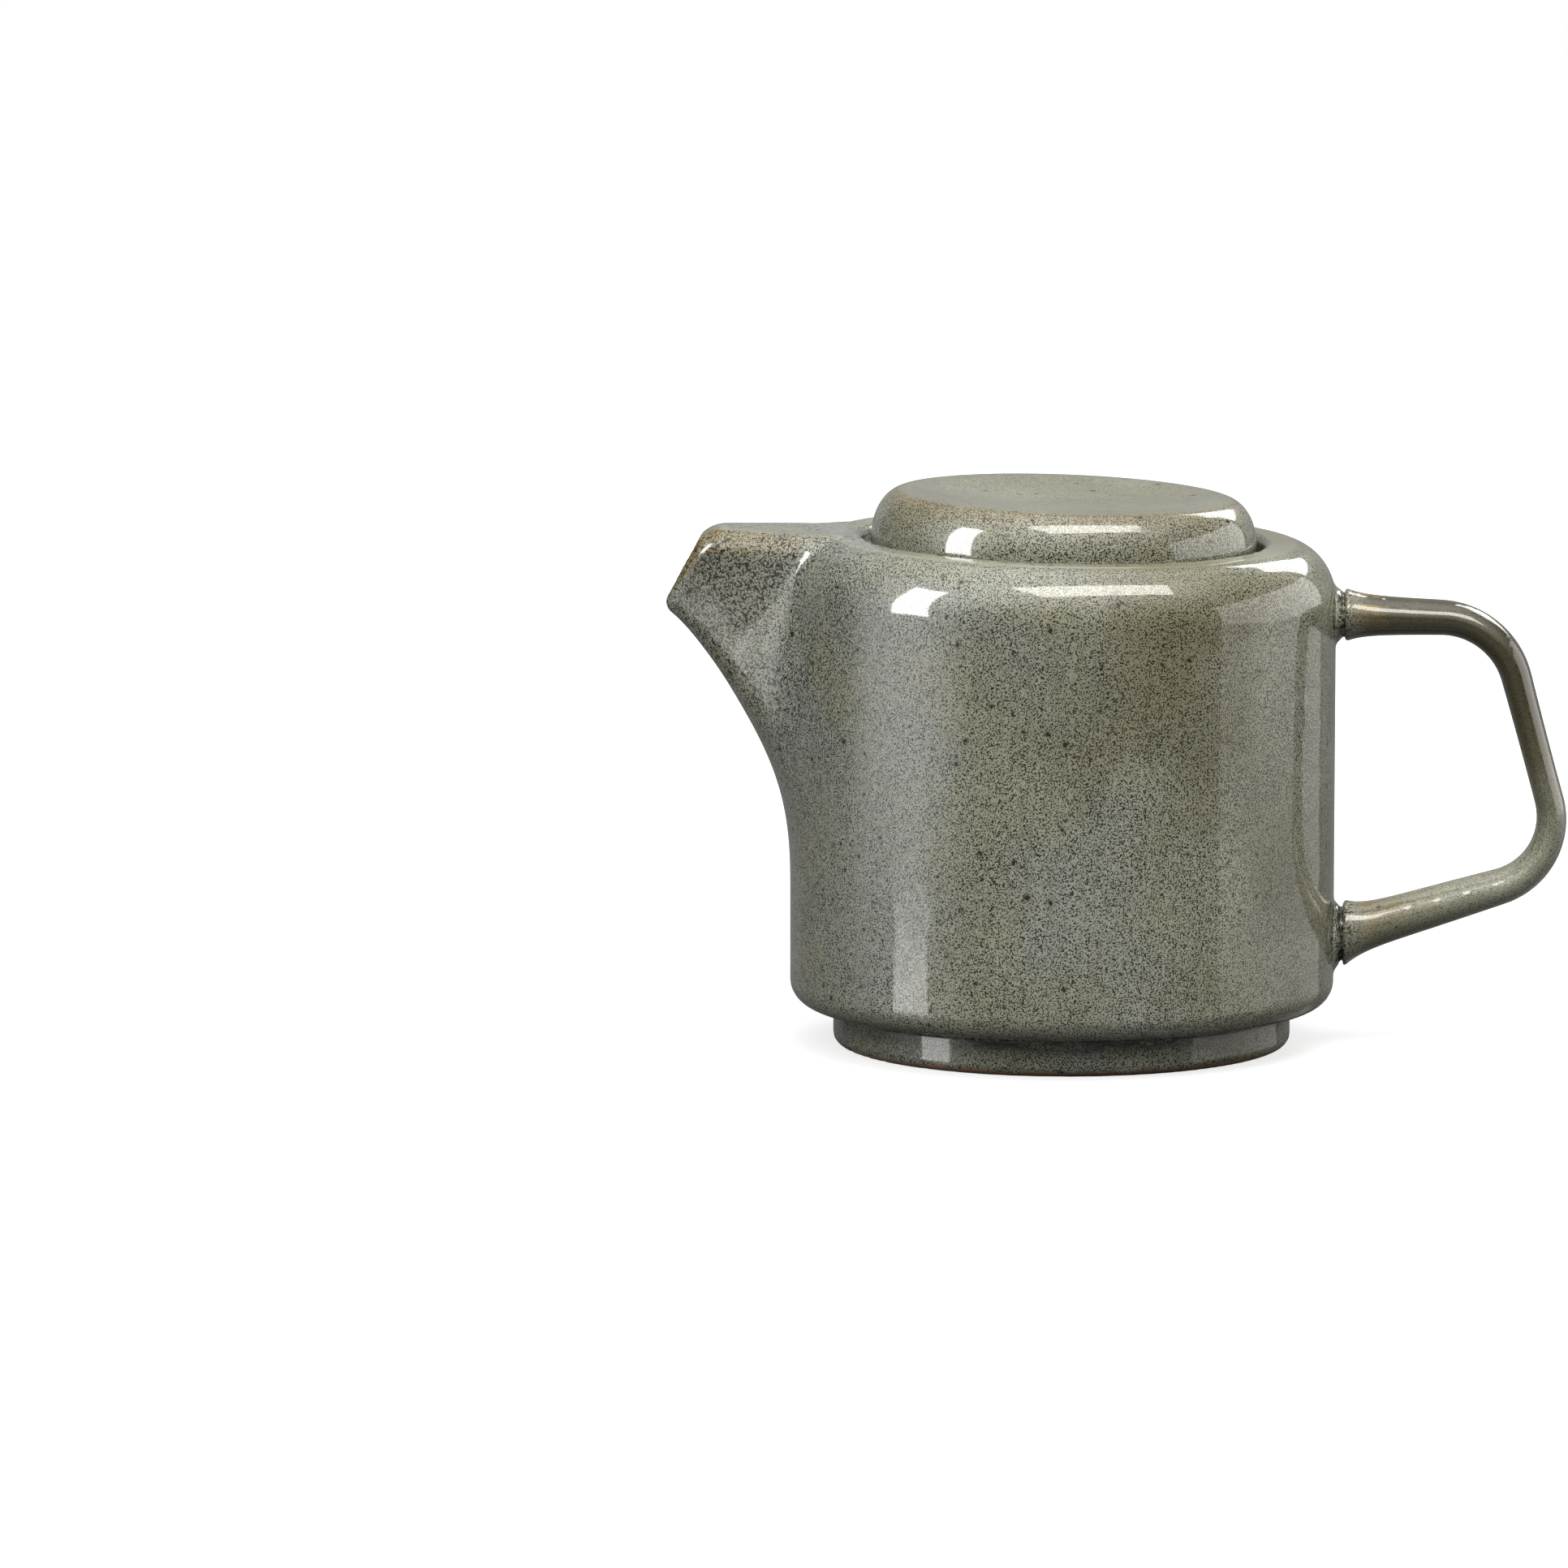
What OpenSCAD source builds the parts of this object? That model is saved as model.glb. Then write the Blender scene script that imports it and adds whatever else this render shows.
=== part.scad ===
// Stoneware teapot for one person, with a dished drop-in lid.
// The pot stands on the plane z = 0 with its axis on the z axis.
// The spout points along -X and the handle along +X. All sizes are millimetres.

/* [Body] */
// Outside diameter of the wall
body_d = 98; // [92:0.5:106]
// Height of the flat top above the table
body_h = 91.6; // [88:0.1:96]
// Rounding between the wall and the flat top
shoulder_r = 8; // [6:0.5:10]
// Rounding at the bottom of the wall
heel_r = 4.5; // [3:0.5:5.5]
// Thickness of the wall and of the top
wall_t = 4; // [3:0.1:4.5]
// Thickness of the floor
floor_t = 4.4; // [3.5:0.1:6]
// Rounding of the inside corners
inner_r = 5; // [3:0.5:6]

/* [Foot] */
// Outside diameter of the foot ring
foot_d = 82.4; // [76:0.2:86]
// Height of the underside of the pot above the table
foot_h = 7.2; // [5:0.1:9]
// Width of the foot ring
foot_w = 5.2; // [4:0.1:8]
// Rounding of the edge that stands on the table
foot_edge_r = 2; // [0.8:0.1:2.4]
// Cove where the foot ring meets the underside
foot_cove_r = 1; // [0.5:0.1:1.5]

/* [Lid seat] */
// Diameter of the opening that the lid drops into
opening_d = 72; // [70:0.2:74]
// Rounding of the edge of the opening
opening_edge_r = 1.1; // [0.5:0.1:1.6]
// Depth of the ledge below the flat top, measured on the axis
seat_depth = 3.7; // [2.8:0.1:4.5]
// Diameter of the throat inside the ledge
throat_d = 62; // [58:0.5:64]
// Thickness of the ledge
ledge_t = 4; // [3:0.1:5]
// How far the ledge and the lid lean down towards the handle, in degrees
lean_to_handle = 2; // [0:0.1:2.5]
// How far the ledge and the lid lean down towards the side with -Y, in degrees
lean_to_front = 1.1; // [0:0.1:1.5]

/* [Lid] */
// Gap between the side of the lid and the opening
lid_gap = 1.4; // [1:0.1:2]
// Height of the lid above its ledge
lid_h = 11.6; // [10:0.1:14]
// Rounding of the upper edge of the lid
lid_edge_r = 5.3; // [3:0.1:6]
// Diameter of the dish in the top of the lid
dish_d = 52; // [44:0.5:54]
// Depth of the dish
dish_depth = 3; // [1.5:0.1:4]
// Depth of the flange that locates the lid in the throat
flange_h = 8; // [5:0.5:12]
// Gap between the flange and the throat
flange_gap = 1; // [0.6:0.1:2]
// Thickness of the flange and of the floor of the dish
lid_t = 4; // [3:0.1:5]

/* [Spout] */
// Distance of the upper corner of the mouth from the axis of the pot
mouth_x = 64.8; // [60:0.1:70]
// Rise of the upper side of the spout above the flat top of the pot, at the mouth
mouth_rise = 2; // [0.5:0.1:2.4]
// Rise of the middle of the upper side above its edges, at the mouth
spout_crown = 1.2; // [0:0.1:2]
// Drop of the upper side where it rounds off into the mouth
nose_drop = 1.8; // [0.5:0.1:2.2]
// How far the mouth leans out from upright, in degrees
mouth_lean = 28; // [20:1:36]
// Half the width of the mouth
mouth_w = 8.6; // [7:0.1:11]
// Half the width of the root of the spout
root_w = 22; // [20:0.5:26]
// How soon the spout narrows on its way out, as a power
narrowing = 5; // [3:0.5:6]
// Height at which the underside of the spout leaves the wall
keel_z = 49; // [44:0.2:56]
// Slope of the underside of the spout, in degrees
keel_slope = 55.3; // [52:0.1:60]
// How far the tip droops below the line of the underside
beak_droop = 2.4; // [0:0.1:3]
// Rounding of the upper edges of the spout at its mouth
mouth_edge_r = 3; // [2.5:0.1:3.5]
// Rounding of the upper edges of the spout at its root
root_edge_r = 9; // [7:0.5:10]
// Rounding of the underside of the spout at its mouth
mouth_keel_r = 3.6; // [3.2:0.1:4.2]
// Rounding of the underside of the spout at its root
root_keel_r = 10; // [8:0.5:12]
// Thickness of the wall of the spout
spout_t = 3.1; // [2.6:0.1:3.6]
// Rounding of the lip
lip_r = 1.4; // [0.8:0.1:1.5]

/* [Strainer] */
// Diameter of the strainer holes
hole_d = 3.8; // [3:0.1:4]
// Radius of the ring of six holes round the middle one
hole_ring_r = 5; // [4.8:0.1:5.2]
// Height of the middle hole
hole_z = 76; // [72:0.5:78]

/* [Handle] */
// Height at which the upper arm of the handle meets the wall
root_top_z = 78.1; // [74:0.1:80]
// Height of the upper corner, before rounding
corner_top_z = 77.3; // [74:0.1:80]
// Distance of the upper corner from the axis, before rounding
corner_top_x = 78.5; // [74:0.1:84]
// Distance of the lower corner from the axis, before rounding
corner_low_x = 90.8; // [84:0.1:96]
// Height of the lower corner, before rounding
corner_low_z = 32.6; // [30:0.1:38]
// Height at which the lower arm meets the wall
root_low_z = 18.1; // [17:0.1:22]
// Bend radius of the upper corner
bend_top_r = 14.5; // [10:0.5:16.5]
// Bend radius of the lower corner
bend_low_r = 13; // [8:0.2:14]
// Thickness of the upper arm near its root
arm_t = 7.4; // [5.5:0.1:8]
// Thickness of the grip at its thinnest
grip_t = 5.2; // [4.5:0.1:7]
// Thickness of the lower arm near its root
low_arm_t = 7.8; // [6:0.1:9]
// Width of the handle from front to back
grip_w = 10.4; // [8:0.1:13]
// Growth of the thickness where the handle meets its collars
flare = 2.6; // [1:0.1:3.5]
// Distance of the seam of the collar from the wall
collar_x = 1.7; // [1.2:0.1:2.5]
// Depth of the seam round the collar
seam_depth = 0.7; // [0.3:0.1:1]

/* [Hidden] */

// The turned forms are true circles, whatever this number is
$fn = 96;
// Overshoot of a cutting tool beyond the flat face that it leaves through
eps = 0.5;
// Overshoot beyond a face that leans or curves
over = 2;
body_r = body_d / 2;
foot_r = foot_d / 2;
opening_r = opening_d / 2;
throat_r = throat_d / 2;
seat_z = body_h - seat_depth;
chamber_floor_z = foot_h + floor_t;
lid_r = opening_r - lid_gap;
flange_r = throat_r - flange_gap;
// Rounding of edges that only have their glaze to soften them
arris = 0.8;

// A drum of radius r from z0 to z1, with its lower edge rounded by low and its upper edge by high
module drum(r, z0, z1, low, high) {
    rotate_extrude() {
        translate([0, z0]) square([r - low, z1 - z0 - high]);
        translate([0, z0 + low]) square([r, z1 - z0 - low - high]);
        translate([0, z0 + low]) square([r - high, z1 - z0 - low]);
        translate([r - low, z0 + low]) circle(low);
        translate([r - high, z1 - high]) circle(high);
    }
}

// What fillets or rounds an edge at radius r and height z: a square of side s less the circle in it.
// right and up are 1 or -1 and give the side of the edge that the square lies on.
module edge_ring(r, z, s, right, up) {
    rotate_extrude()
        difference() {
            translate([right > 0 ? r : r - s, up > 0 ? z : z - s]) square(s);
            translate([r + right * s, z + up * s]) circle(s);
        }
}

// Places the lid's own frame, whose plane z = 0 is the ledge
module on_seat() {
    translate([0, 0, seat_z]) rotate([lean_to_front, lean_to_handle, 0]) children();
}

// Wall, shoulder and top before they are hollowed
module outer_shell() {
    drum(body_r, foot_h, body_h, heel_r, shoulder_r);
}

// Foot ring with the cove under the body
module foot() {
    drum(foot_r, 0, foot_h + floor_t / 2, foot_edge_r, eps);
    edge_ring(foot_r, foot_h, foot_cove_r, 1, -1);
}

module foot_recess() {
    translate([0, 0, -foot_cove_r]) drum(foot_r - foot_w, 0, foot_h + foot_cove_r, arris, foot_cove_r);
}

// Inside of the pot, up to the underside of the lid's ledge
module chamber() {
    difference() {
        drum(body_r - wall_t, chamber_floor_z, body_h, inner_r, inner_r);
        on_seat() translate([0, 0, -ledge_t]) cylinder(r = body_r, h = body_h);
    }
}

// Hole that the lid drops into, its throat and its rounded edge
module opening() {
    intersection() {
        translate([0, 0, seat_z - seat_depth]) cylinder(r = opening_r, h = 3 * seat_depth);
        on_seat() cylinder(r = body_r, h = 3 * seat_depth);
    }
    on_seat() translate([0, 0, -ledge_t - over]) cylinder(r = throat_r, h = ledge_t + 2 * over);
    edge_ring(opening_r, body_h, opening_edge_r, 1, -1);
}

// Outline of a section of the spout, a rounded triangle with a flat upper side.
// w is half the width of the upper side, tall the depth of the keel below it, top_r and keel_r the
// roundings, crown the rise of the middle of the upper side and inset the distance by which the whole
// outline is moved inwards.
function section(w, tall, top_r, keel_r, crown, inset) =
    let (
        a = max(top_r - inset, arris),
        b = max(keel_r - inset, arris),
        cy = w - inset - a,
        ct = inset + a,
        kt = tall - inset - b,
        side = atan2(kt - ct, -cy),
        turn = asin((a - b) / norm([cy, kt - ct])),
        face = side - 90 + turn
    )
    concat(
        [for (i = [0 : 2]) let (y = cy * i / 3) [y, inset - crown * (1 - pow(y / cy, 2))]],
        [for (i = [0 : 6]) let (g = -90 + (face + 90) * i / 6) [cy + a * cos(g), ct + a * sin(g)]],
        [for (i = [0 : 8]) let (g = face + (180 - 2 * face) * i / 8) [b * cos(g), kt + b * sin(g)]],
        [for (i = [0 : 6]) let (g = 180 - face + (face + 90) * i / 6) [-cy + a * cos(g), ct + a * sin(g)]],
        [for (i = [1 : 2]) let (y = -cy * (3 - i) / 3) [y, inset - crown * (1 - pow(y / cy, 2))]]
    );

// The spout starts inside the shoulder, a little below the flat top
spout_root_x = body_r - shoulder_r - 1;
spout_dip = 0.4;
spout_steps = 12;
lip_steps = 3;
// Powers of v that say how late the nose drops, the sections lean and the beak droops
nose_power = 14;
lean_power = 0.8;
droop_power = 6;

// One station of the spout at v, which runs from 0 at the root to 1 at the mouth.
// Its plane turns from upright at the root to the lean of the mouth.
function station(v, inset, push = 0) =
    let (
        x = spout_root_x + (mouth_x - spout_root_x) * v,
        z = body_h - spout_dip + (mouth_rise + spout_dip) * sin(90 * v) - nose_drop * pow(v, nose_power),
        m = mouth_lean * pow(v, lean_power),
        run = ((z - keel_z) * sin(m) + (x - body_r) * cos(m)) / cos(keel_slope - m),
        tall = (z - keel_z - run * sin(keel_slope)) / cos(m) + beak_droop * pow(v, droop_power),
        w = mouth_w + (root_w - mouth_w) * pow(1 - v, narrowing),
        top_r = mouth_edge_r + (root_edge_r - mouth_edge_r) * pow(1 - v, 2),
        keel_r = mouth_keel_r + (root_keel_r - mouth_keel_r) * (1 - v),
        outline = section(w, tall, top_r, keel_r, spout_crown * v, inset)
    )
    [for (p = outline) [-x - p[1] * sin(m) - push * cos(m), p[0], z - p[1] * cos(m) + push * sin(m)]];

// Average of the points, counted from point i on
function middle(points, i = 0) =
    i == len(points) ? [0, 0, 0] : points[i] / len(points) + middle(points, i + 1);

// Closed skin over a list of stations that have the same number of points, with a fan over each end
module loft(stations) {
    n = len(stations[0]);
    last = len(stations) - 1;
    points = concat([for (s = stations) each s], [middle(stations[0]), middle(stations[last])]);
    first_mid = len(points) - 2;
    last_mid = len(points) - 1;
    sides = [for (j = [0 : last - 1], i = [0 : n - 1])
        let (k = (i + 1) % n)
        each [
            [j * n + i, (j + 1) * n + k, j * n + k],
            [j * n + i, (j + 1) * n + i, (j + 1) * n + k]
        ]];
    caps = [for (i = [0 : n - 1])
        let (k = (i + 1) % n)
        each [[i, k, first_mid], [last * n + k, last * n + i, last_mid]]];
    polyhedron(points = points, faces = concat(sides, caps));
}

// Stations from the root to where the rounding of the lip starts
function run_to_lip(inset) =
    [for (i = [0 : spout_steps])
        let (v = i / spout_steps)
        station(v, inset, -lip_r * v)];

// Stations of the lip, which move by a quarter circle from the inset start towards side (1 in, -1 out)
function lip(start, side) =
    [for (i = [1 : lip_steps])
        let (g = 90 * i / lip_steps)
        station(1, start + side * lip_r * (1 - cos(g)), -lip_r * (1 - sin(g)))];

module spout() {
    loft(concat(run_to_lip(0), lip(0, 1)));
}

// The channel stops at the wall, which stays as the strainer
module spout_channel() {
    difference() {
        loft(concat(run_to_lip(spout_t), lip(spout_t, -1), [station(1, spout_t - lip_r, eps)]));
        cylinder(r = body_r, h = body_h + mouth_rise);
    }
}

// Six holes round a middle one, drilled through the wall behind the spout
module strainer() {
    for (i = [0 : 6])
        let (r = i < 6 ? hole_ring_r : 0)
            translate([-body_r - eps / 2, r * cos(60 * i), hole_z + r * sin(60 * i)])
                rotate([0, 90, 0]) cylinder(d = hole_d, h = wall_t + over);
}

// Centre line of the handle: straight runs between corners that are rounded by arcs, in the plane y = 0
root_in = body_r - wall_t / 2;
p_top = [root_in, root_top_z];
c_top = [corner_top_x, corner_top_z];
c_low = [corner_low_x, corner_low_z];
p_low = [root_in, root_low_z];

// Points of the arc of radius r that rounds the corner c between the points a and b
function bend(a, c, b, r, steps) =
    let (
        u = (a - c) / norm(a - c),
        w = (b - c) / norm(b - c),
        half = acos(u * w) / 2,
        mid = (u + w) / norm(u + w),
        centre = c + mid * r / sin(half),
        from = c + u * r / tan(half) - centre,
        to = c + w * r / tan(half) - centre,
        g0 = atan2(from[1], from[0]),
        sweep = atan2(from[0] * to[1] - from[1] * to[0], from * to)
    )
    [for (i = [0 : steps]) centre + r * [cos(g0 + sweep * i / steps), sin(g0 + sweep * i / steps)]];

arc_top = bend(p_top, c_top, c_low, bend_top_r, 8);
arc_low = bend(c_top, c_low, p_low, bend_low_r, 8);
function between(a, b, steps) = [for (i = [1 : steps - 1]) a + (b - a) * i / steps];

// The collar's size as a share of the flare, the width of the seam and the run in which the flare fades
collar_share = 0.55;
seam_w = 0.6;
flare_run = 3.2;
// How much more the lower arm and the breadth flare than the upper arm's thickness
low_flare = 1.6;
breadth_flare = 1.2;
// Growth of the handle at the distance d from the wall: the collar, then the seam, then the flare
function collar_growth(d) =
    d < collar_x - seam_w ? flare * collar_share
    : d < collar_x ? flare * collar_share - seam_depth
    : flare * exp(-(d - collar_x) / flare_run);
// Stations before, in and after the seam, closer together where the growth jumps
beyond_seam = [-seam_w - 0.1, -0.1, 0.05, 1.5, 3.5, 6.5];
collar_stops = concat([0], [for (d = beyond_seam) collar_x + d]);
function along(a, b, d) = a + (b - a) * (d + body_r - root_in) / abs(b[0] - a[0]);

path = concat(
    [p_top],
    [for (d = collar_stops) along(p_top, arc_top[0], d)],
    arc_top,
    between(arc_top[8], arc_low[0], 4),
    arc_low,
    [for (i = [len(collar_stops) - 1 : -1 : 0]) along(p_low, arc_low[8], collar_stops[i])],
    [p_low]
);
count = len(path);
// Share of the way round the handle, from the upper root to the lower one
function share(i) = i / (count - 1);
// Powers that say how soon each arm thins towards the grip
upper_thinning = 1.3;
lower_thinning = 3;
// Each arm thins towards the grip, the upper one sooner, and swells again at its collar
function thickness(i) =
    let (
        s = share(i),
        upper = arm_t + (grip_t - arm_t) * pow(sin(180 * s), upper_thinning),
        lower = low_arm_t + (grip_t - low_arm_t) * pow(sin(180 * s), lower_thinning),
        swell = collar_growth(max(path[i][0] - body_r, 0))
    )
    s < 0.5 ? upper + swell : lower + low_flare * swell;
function breadth(i) = grip_w + breadth_flare * collar_growth(max(path[i][0] - body_r, 0));
function heading(i) =
    let (d = path[min(i + 1, count - 1)] - path[max(i - 1, 0)])
    atan2(d[1], d[0]);

// Oval section of the handle, upright to the centre line
module handle() {
    sides = 24;
    loft([for (i = [0 : count - 1])
        let (h = heading(i), upright = path[i][0] < body_r + collar_x + 2)
        [for (k = [0 : sides - 1])
            let (
                g = 360 * k / sides,
                across = thickness(i) / 2 * sin(g),
                h1 = upright ? (share(i) < 0.5 ? 0 : 180) : h
            )
            [path[i][0] - across * sin(h1), breadth(i) / 2 * cos(g), path[i][1] + across * cos(h1)]
        ]]);
}

module body() {
    color("#8c9186")
        difference() {
            union() {
                outer_shell();
                foot();
                spout();
                handle();
            }
            foot_recess();
            chamber();
            opening();
            spout_channel();
            strainer();
        }
}

// The dish is part of a sphere, and the hollow under it keeps the floor as thick as the flange
module lid() {
    dish_r = (pow(dish_d / 2, 2) + pow(dish_depth, 2)) / (2 * dish_depth);
    dish_z = lid_h - dish_depth + dish_r;
    color("#9a9c90")
        on_seat()
            difference() {
                union() {
                    drum(lid_r, 0, lid_h, arris, lid_edge_r);
                    translate([0, 0, -flange_h]) cylinder(r = flange_r, h = flange_h + 1);
                }
                translate([0, 0, dish_z]) sphere(dish_r);
                difference() {
                    translate([0, 0, -flange_h - eps]) cylinder(r = flange_r - lid_t, h = flange_h + lid_h);
                    translate([0, 0, dish_z]) sphere(dish_r + lid_t);
                }
            }
}

body();
lid();
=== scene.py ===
import math
import bpy
import numpy as np
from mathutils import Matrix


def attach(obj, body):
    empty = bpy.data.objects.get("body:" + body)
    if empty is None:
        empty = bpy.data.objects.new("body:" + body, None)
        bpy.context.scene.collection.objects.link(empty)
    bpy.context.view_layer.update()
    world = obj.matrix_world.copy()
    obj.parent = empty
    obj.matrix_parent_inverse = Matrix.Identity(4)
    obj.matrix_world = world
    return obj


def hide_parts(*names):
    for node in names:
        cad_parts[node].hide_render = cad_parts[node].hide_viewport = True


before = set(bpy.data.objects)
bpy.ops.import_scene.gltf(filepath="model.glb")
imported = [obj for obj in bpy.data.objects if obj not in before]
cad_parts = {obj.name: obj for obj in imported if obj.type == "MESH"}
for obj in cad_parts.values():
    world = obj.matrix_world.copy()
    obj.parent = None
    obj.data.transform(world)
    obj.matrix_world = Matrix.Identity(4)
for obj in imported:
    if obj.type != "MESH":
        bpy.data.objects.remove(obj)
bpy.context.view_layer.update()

MM = 0.001

# Pot
# One piece of stoneware in a speckled glaze: the turned wall, the beak spout and the loop handle stuck on
# before firing, the lid's ledge and the foot ring, all run together in soft fillets. Here it is one
# implicit surface, meshed where solid() is nought. Sizes are in millimetres.
body_r = 49.0
body_h = 91.6
shoulder_r, shoulder_drop = 8.5, 10.0
heel_r = 4.5
wall_t = 4.0
floor_z = 11.6
inner_r = 5.0
overlap = 2.0

foot_r = 41.2
foot_h = 7.2
foot_in_r = 36.0
foot_edge_r = 2.0
foot_top_r = 0.5
foot_fillet = 1.0
recess_from_z = -9.0
recess_low_r, recess_top_r, recess_edge_r = 0.8, 1.0, 1.2

opening_r = 36.0
throat_r = 31.0
seat_z = 87.9
ledge_t = 4.0
ledge_under_r, ledge_edge_r = 3.0, 0.8
seat_corner_r, rim_r = 0.8, 1.3
throat_below, throat_half = 2.0, 6.0
throat_end_r, throat_edge_r = 0.5, 1.0
seat_lean = (math.radians(2.0), math.radians(1.1))
top_lean = (math.radians(1.3), math.radians(1.0))
top_lean_from, top_lean_to = 55.0, 84.0

spout_zone_x = -30.0
spout_root = 40.0
spout_end_r = 1.5
mouth_out = 64.55
mouth_top = 93.1
root_top = 92.6
crown = 0.5
crown_full, crown_end = 4.0, 20.0
mouth_lean = math.radians(28)
lean_power = 0.8
mouth_w = 8.0
root_w = 17.6
taper = 0.86
narrowing = 9
mouth_edge_r, edge_growth, edge_power = 3.4, 4.0, 8
mouth_keel_r, keel_growth = 3.6, 8.0
keel_z = 49.0
keel_slope = math.radians(55.3)
beak_droop, droop_power = 2.4, 6
joint_high, joint_more = 2.6, 17.0
joint_high_z, joint_low_z = 90.0, 60.0
lip_low_r, nose_r = 2.0, 3.0
lip_low_z, nose_z = 86.0, 92.0
spout_t = 3.1
least_r = 0.8
planes_to, halvings = 1.4, 22
channel_past_mouth = 4.0
channel_end_r, strainer_r, channel_lip_r = 0.5, 0.6, 1.4
hole_r = 1.9
hole_ring_r = 5.0
hole_z = 76.0
hole_mid, hole_half = 47.5, 5.0
hole_end_r, hole_edge_r = 0.1, 0.4

handle_zone_x, handle_zone_y = 44.0, 14.0
handle_top_z = 78.1
corner_top = (78.5, 77.3)
corner_low = (90.8, 32.6)
handle_low_z = 18.1
bend_top_r = 14.5
bend_low_r = 13.0
arm_t, grip_t, low_arm_t = 7.4, 5.2, 7.8
arm_thinning, low_arm_thinning = 1.3, 3
grip_w = 10.4
handle_fillet = 1.6
collar_x = 1.6
collar_share = 0.6
collar_rise = (-0.3, 0.2)
flare, flare_length = 2.6, 3.0
low_flare, side_flare = 1.6, 1.2
seam_depth, seam_back, seam_half = 0.6, 0.2, 0.4
path_steps = 60


def smoothstep(lo, hi, x):
    """0 at lo, 1 at hi and a smooth rise between them. The rise goes downwards where hi is the smaller."""
    t = np.clip((x - lo) / (hi - lo), 0, 1)
    return t * t * (3 - 2 * t)


def join(a, b, r):
    """Distance to two solids at once, with a fillet of radius r where they meet."""
    u, v = np.maximum(r - a, 0), np.maximum(r - b, 0)
    return np.maximum(np.minimum(a, b), r) - np.hypot(u, v)


def melt(a, b, width):
    """Distance to two solids at once, less a cubic hump where the two distances differ by under width."""
    near = np.maximum(width - np.abs(a - b), 0) / width
    return np.minimum(a, b) - near ** 3 * width / 6


def both(a, b, r):
    """Distance to what two solids share, with the edge between them rounded by r."""
    return -join(-a, -b, r)


def drum(radial, z, radius, z0, z1, low, high, high_drop=None):
    """Distance to an upright drum whose lower and upper edges are rounded, the upper one by an ellipse
    that reaches inwards by high and down by high_drop."""
    mid = (z0 + z1) / 2
    e = np.where(z > mid, high, low)
    drop = np.where(z > mid, high_drop or high, low)
    a = radial - radius + e
    b = (np.abs(z - mid) - (z1 - z0) / 2 + drop) * e / drop
    return np.minimum(np.maximum(a, b), 0) + np.hypot(np.maximum(a, 0), np.maximum(b, 0)) - e


def leaning(x, y, lean):
    """Height that a plane through the axis gains at (x, y) when it leans down to +X and to -Y."""
    return y * math.tan(lean[1]) - x * math.tan(lean[0])


def spout_plane(v):
    """Distance out and height of the top line and lean of the section plane, at v from root to mouth."""
    rise = np.sin(np.pi / 2 * np.clip(v, 0, 1))
    out = spout_root + (mouth_out - spout_root) * v
    return out, root_top + (mouth_top - root_top) * rise, mouth_lean * v ** lean_power


def spout(x, y, z):
    """Distances to the outside of the spout, to its channel and to the plane of its mouth.

    The section planes fan out about a line under the root, so bisection finds the one through each point.
    Its outline is the hull of three circles: two on the upper edges and one on the keel."""
    lo, hi = np.zeros(x.shape), np.full(x.shape, planes_to)
    for _ in range(halvings):
        v = (lo + hi) / 2
        out, top, lean = spout_plane(v)
        ahead = (-x - out) * np.cos(lean) + (z - top) * np.sin(lean) > 0
        lo, hi = np.where(ahead, v, lo), np.where(ahead, hi, v)
    out, top, lean = spout_plane(v)
    depth = (top - z) * np.cos(lean) + (-x - out) * np.sin(lean)
    along = np.clip(v, 0, 1)
    back = np.clip(1 - v, 0, 1)
    w = mouth_w + (root_w - mouth_w) * (taper * back + (1 - taper) * back ** narrowing)
    edge_r = mouth_edge_r + edge_growth * back ** edge_power
    keel_r = mouth_keel_r + keel_growth * back
    run = ((top - keel_z) * np.sin(lean) + (out - body_r) * np.cos(lean)) / np.cos(keel_slope - lean)
    tall = (top - keel_z - run * np.sin(keel_slope)) / np.cos(lean) + beak_droop * along ** droop_power
    hump = np.maximum(1 - (y / w) ** 2, 0) * smoothstep(crown_end, crown_full, depth)
    depth = depth + crown * along * hump

    def outline(inset):
        """Largest distance of the point beyond the lines that touch the hull of the three circles."""
        a, b = np.maximum(edge_r - inset, least_r), np.maximum(keel_r - inset, least_r)
        cy, ct, ck = w - inset - a, inset + a, tall - inset - b
        side = np.arctan2(ck - ct, cy) - np.arcsin(np.clip((a - b) / np.hypot(cy, ck - ct), -1, 1))
        ny, nd = np.sin(side), np.cos(side)
        yy = np.abs(y)
        flat = ct - depth - a
        slant = (yy - cy) * ny + (depth - ct) * nd - a
        corner = np.hypot(yy - cy, depth - ct) - a
        keel = np.hypot(yy, depth - ck) - b
        past_top = (yy > cy) & ((yy - cy) * nd - (depth - ct) * ny > 0)
        past_keel = yy * nd - (depth - ck) * ny < 0
        d = np.maximum(flat, slant)
        d = np.where(past_top, corner, d)
        return np.where(past_keel, keel, d)

    tip_out, tip_top, tip_lean = spout_plane(np.float64(1.0))
    mouth = (-x - tip_out) * np.cos(tip_lean) + (z - tip_top) * np.sin(tip_lean)
    return outline(0.0), outline(spout_t), mouth


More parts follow.
